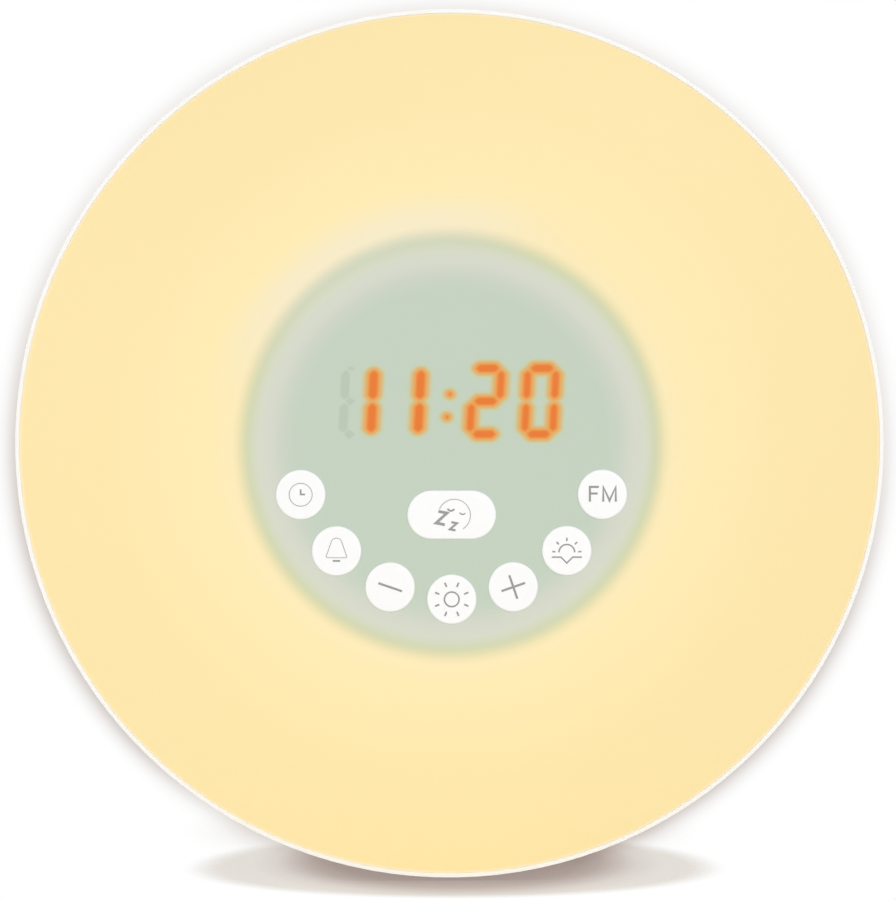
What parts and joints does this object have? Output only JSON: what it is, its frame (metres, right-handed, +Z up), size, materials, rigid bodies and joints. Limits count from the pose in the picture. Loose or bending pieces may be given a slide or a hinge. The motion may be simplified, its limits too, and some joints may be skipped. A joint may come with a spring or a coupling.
{
  "type": "sunrise alarm clock",
  "caption": "Round bedside wake-up light: a domed milky disc that glows warm, with a digital clock, white push keys and a snooze key on its face, on a bowl-shaped rear shell with a small foot.",
  "frame": {"origin": "on the table under the middle of the clock, at the centre of its footprint box", "axes": "+Z up, -Y out of the lit face towards the user, +X to the user's right"},
  "size_m": [0.17, 0.088, 0.171],
  "materials": {
    "milky_diffuser": "smooth satin, lit from behind",
    "white_shell": "fine satin moulding",
    "key_white": "smooth",
    "housing_grey": "satin",
    "board_green": "solder mask",
    "board_white": "white solder mask",
    "black_plastic": "satin",
    "display_face": "matt",
    "segment_lit": "lit epoxy",
    "segment_unlit": "clear epoxy over white",
    "reflector_white": "smooth",
    "led_yellow": "phosphor",
    "plated_steel": "zinc plated",
    "nickel_plated": "bright",
    "contact_brass": "tinned spring strip",
    "capacitor_sleeve": "shrink sleeve",
    "connector_nylon": "natural nylon",
    "rubber_dark": "matt",
    "speaker_frame": "zinc grey",
    "magnet_dark": "ferrite",
    "cone_paper": "pulp cone",
    "lead_red": "wire insulation",
    "lead_black": "wire insulation",
    "ribbon_grey": "flat cable"
  },
  "bodies": {
    "case": {"front_diffuser": "milky_diffuser", "rear_shell": "white_shell", "stand_foot": "white_shell", "rubber_feet": "rubber_dark", "battery_holder": "black_plastic", "coin_cell": "nickel_plated", "battery_contact_plus": "contact_brass", "battery_contact_minus": "contact_brass", "control_housing": "housing_grey", "control_board": "board_green", "switch_bodies": "black_plastic", "display_module": "display_face", "segments_lit": "segment_lit", "segments_unlit": "segment_unlit", "reflector_bowl": "reflector_white", "led_ring_board": "board_white", "led_chips": "led_yellow", "main_board": "board_green", "board_chips": "black_plastic", "board_capacitors": "capacitor_sleeve", "clock_crystal": "nickel_plated", "radio_can": "nickel_plated", "board_connectors": "connector_nylon", "speaker_gasket": "rubber_dark", "speaker_basket": "speaker_frame", "speaker_magnet": "magnet_dark", "speaker_cone": "cone_paper", "dc_jack": "black_plastic", "antenna_grommet": "rubber_dark", "ribbon_cable": "ribbon_grey", "speaker_lead": "lead_black", "led_lead": "lead_red", "battery_lead": "lead_red", "power_lead": "lead_red", "housing_screws": "plated_steel", "control_board_screws": "plated_steel", "lamp_screws": "plated_steel", "main_board_screws": "plated_steel", "speaker_screws": "plated_steel", "foot_screws": "plated_steel"},
    "battery_door": {"battery_door": "white_shell"},
    "clock_key": {"key_clock": "key_white", "plunger_clock": "black_plastic"},
    "alarm_key": {"key_alarm": "key_white", "plunger_alarm": "black_plastic"},
    "minus_key": {"key_minus": "key_white", "plunger_minus": "black_plastic"},
    "lamp_key": {"key_lamp": "key_white", "plunger_lamp": "black_plastic"},
    "plus_key": {"key_plus": "key_white", "plunger_plus": "black_plastic"},
    "sunrise_key": {"key_sunrise": "key_white", "plunger_sunrise": "black_plastic"},
    "radio_key": {"key_radio": "key_white", "plunger_radio": "black_plastic"},
    "snooze_key": {"key_snooze": "key_white", "plunger_snooze": "black_plastic"}
  },
  "joints": [
    {"name": "clock_key_press", "type": "slide", "parent": "case", "child": "clock_key", "axis": [0, 1, 0], "range_m": [0, 0.0005], "stiffness_N_per_m": 800, "springref_m": -0.0005},
    {"name": "alarm_key_press", "type": "slide", "parent": "case", "child": "alarm_key", "axis": [0, 1, 0], "range_m": [0, 0.0005], "stiffness_N_per_m": 800, "springref_m": -0.0005},
    {"name": "minus_key_press", "type": "slide", "parent": "case", "child": "minus_key", "axis": [0, 1, 0], "range_m": [0, 0.0005], "stiffness_N_per_m": 800, "springref_m": -0.0005},
    {"name": "lamp_key_press", "type": "slide", "parent": "case", "child": "lamp_key", "axis": [0, 1, 0], "range_m": [0, 0.0005], "stiffness_N_per_m": 800, "springref_m": -0.0005},
    {"name": "plus_key_press", "type": "slide", "parent": "case", "child": "plus_key", "axis": [0, 1, 0], "range_m": [0, 0.0005], "stiffness_N_per_m": 800, "springref_m": -0.0005},
    {"name": "sunrise_key_press", "type": "slide", "parent": "case", "child": "sunrise_key", "axis": [0, 1, 0], "range_m": [0, 0.0005], "stiffness_N_per_m": 800, "springref_m": -0.0005},
    {"name": "radio_key_press", "type": "slide", "parent": "case", "child": "radio_key", "axis": [0, 1, 0], "range_m": [0, 0.0005], "stiffness_N_per_m": 800, "springref_m": -0.0005},
    {"name": "snooze_key_press", "type": "slide", "parent": "case", "child": "snooze_key", "axis": [0, 1, 0], "range_m": [0, 0.0005], "stiffness_N_per_m": 800, "springref_m": -0.0005},
    {"name": "battery_door_slide", "type": "slide", "parent": "case", "child": "battery_door", "axis": [0, 1, 0], "range_m": [0, 0.022]}
  ]
}
